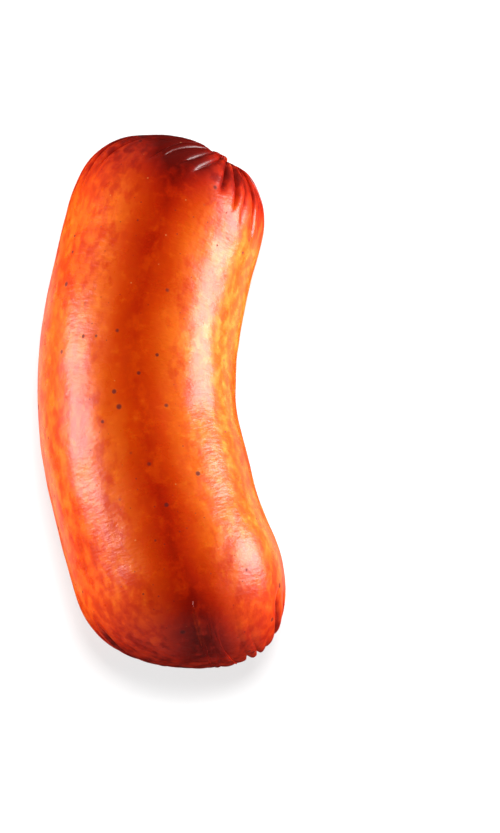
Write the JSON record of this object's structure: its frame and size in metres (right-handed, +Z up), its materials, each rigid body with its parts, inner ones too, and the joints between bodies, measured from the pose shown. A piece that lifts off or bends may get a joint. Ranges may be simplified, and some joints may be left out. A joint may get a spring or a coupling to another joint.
{
  "type": "smoked sausage",
  "caption": "Short, thick, bent smoked sausage in a natural casing, with rounded ends and the casing gathered in fine folds round each tip.",
  "frame": {"origin": "on the surface the sausage lies on, under the middle of its bounding box", "axes": "+Z up; +Y along the sausage; +X towards the hollow side of its bend"},
  "size_m": [0.0618, 0.1342, 0.0489],
  "materials": {
    "smoked_casing": "glossy smoked casing, orange-red, mottled, darker along the back and at the ends"
  },
  "bodies": {
    "root": {"sausage": "smoked_casing"}
  },
  "joints": []
}
